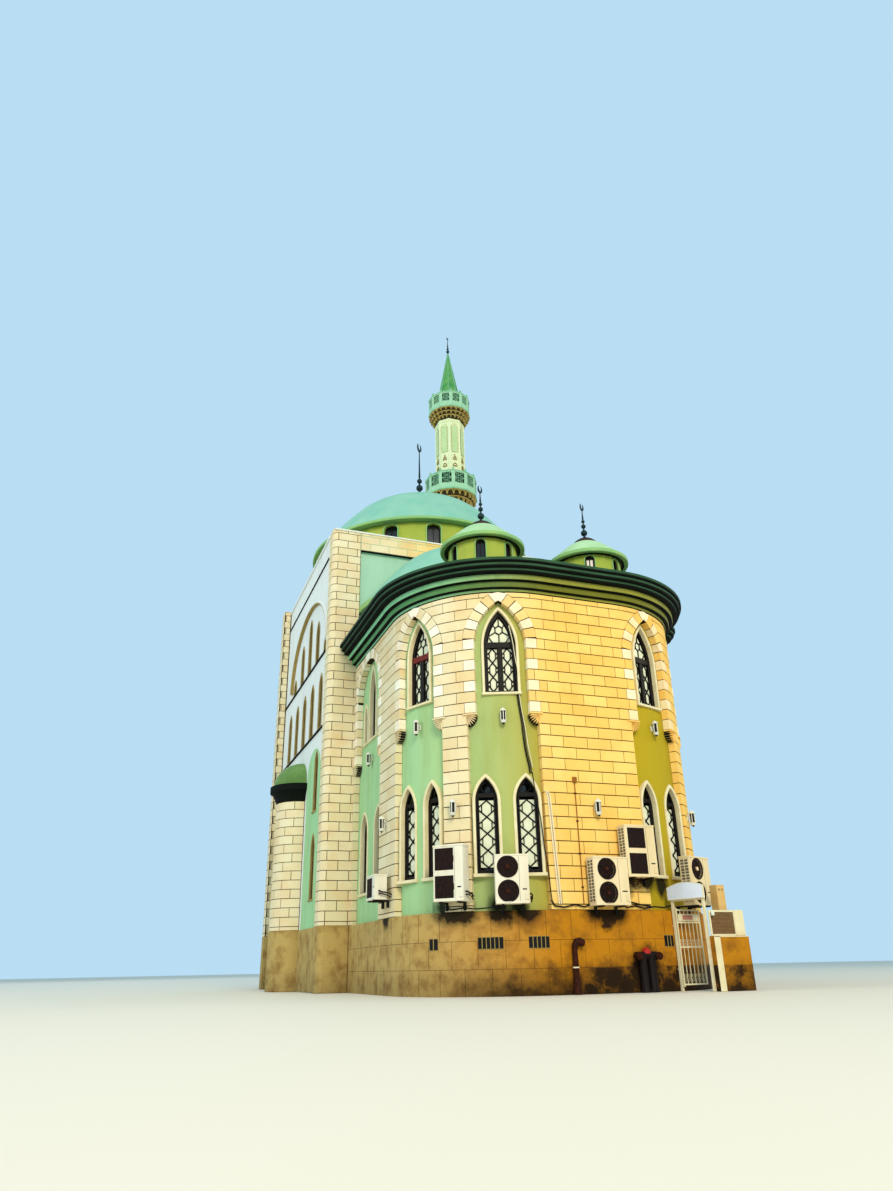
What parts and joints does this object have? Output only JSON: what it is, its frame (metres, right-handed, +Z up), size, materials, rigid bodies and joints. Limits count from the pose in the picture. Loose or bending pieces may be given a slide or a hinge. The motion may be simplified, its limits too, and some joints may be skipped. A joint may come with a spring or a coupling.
{
  "type": "mosque building",
  "caption": "City mosque with a round-cornered prayer hall, a domed block behind it, small domes, an apse, a minaret with balconies and a hinged side gate.",
  "frame": {"origin": "centre of the building's footprint box, at pavement level", "axes": "+Z up, the hall's front faces -Y, +X to the right when facing the front"},
  "size_m": [12.32, 22.7088, 37.4089],
  "materials": {
    "painted_plinth": "ochre masonry paint on render, stained",
    "stucco": "rough olive green stucco",
    "stone": "cut cream stone facing with thin joints",
    "dark_green_paint": "dark and light green painted mouldings",
    "window_glass": "dark tinted glass",
    "yellow_green_render": "yellow-green painted render",
    "turquoise_render": "pale turquoise painted render",
    "dark_bronze": "dark weathered bronze",
    "white_render": "white painted render",
    "green_render": "pale green painted render",
    "pale_green_render": "pale green and cream painted render",
    "green_cone_paint": "green painted sheet metal",
    "casing_paint": "off-white powder-coated steel sheet",
    "gate_paint": "white gloss paint on steel",
    "door_wood": "dark varnished wood",
    "cabinet_paint": "ochre painted steel sheet",
    "concrete": "plain concrete"
  },
  "bodies": {
    "building": {"hall_plinth_left": "painted_plinth", "hall_wall_left": "stucco", "stone_facing_left": "stone", "hall_plinth_front": "painted_plinth", "hall_wall_front": "stucco", "stone_facing_front": "stone", "hall_plinth_right": "painted_plinth", "hall_wall_right": "stucco", "stone_facing_right": "stone", "hall_cornice": "dark_green_paint", "side_pier": "stone", "hall_floor": "concrete", "hall_upper_floor": "concrete", "hall_roof": "concrete", "hall_lower_glazing": "window_glass", "hall_upper_glazing": "window_glass", "small_drum_left": "yellow_green_render", "small_dome_left": "turquoise_render", "small_drum_right": "yellow_green_render", "small_dome_right": "turquoise_render", "semi_dome": "turquoise_render", "main_drum": "yellow_green_render", "main_dome": "turquoise_render", "main_finial": "dark_bronze", "block_front_wall": "green_render", "front_pier_left": "stone", "rear_pier_left": "stone", "front_pier_right": "stone", "rear_pier_right": "stone", "block_left_wall": "white_render", "block_left_panel": "white_render", "block_right_wall": "white_render", "block_right_panel": "white_render", "block_back_wall": "white_render", "block_floor": "concrete", "block_first_floor": "concrete", "block_second_floor": "concrete", "block_roof": "concrete", "entrance_door": "door_wood", "apse_wall": "stone", "apse_cornice": "dark_green_paint", "apse_dome": "turquoise_render", "minaret_base": "white_render", "minaret_lower_shaft": "pale_green_render", "minaret_lower_balcony": "pale_green_render", "minaret_upper_shaft": "pale_green_render", "minaret_upper_balcony": "pale_green_render", "minaret_spire": "green_cone_paint", "minaret_finial": "dark_bronze", "condenser_1": "casing_paint", "condenser_2": "casing_paint", "condenser_3": "casing_paint", "condenser_4": "casing_paint", "condenser_5": "casing_paint", "condenser_6": "casing_paint", "gate_frame": "gate_paint", "low_wall": "painted_plinth", "wall_panel": "gate_paint", "yard_cabinet": "cabinet_paint"},
    "gate": {"gate_leaf": "gate_paint"}
  },
  "joints": [
    {"name": "gate_hinge", "type": "hinge", "parent": "building", "child": "gate", "pos_m": [2.47193, -10.32617, 1], "axis": [0, 0, 1], "range_deg": [-85, 3]}
  ]
}
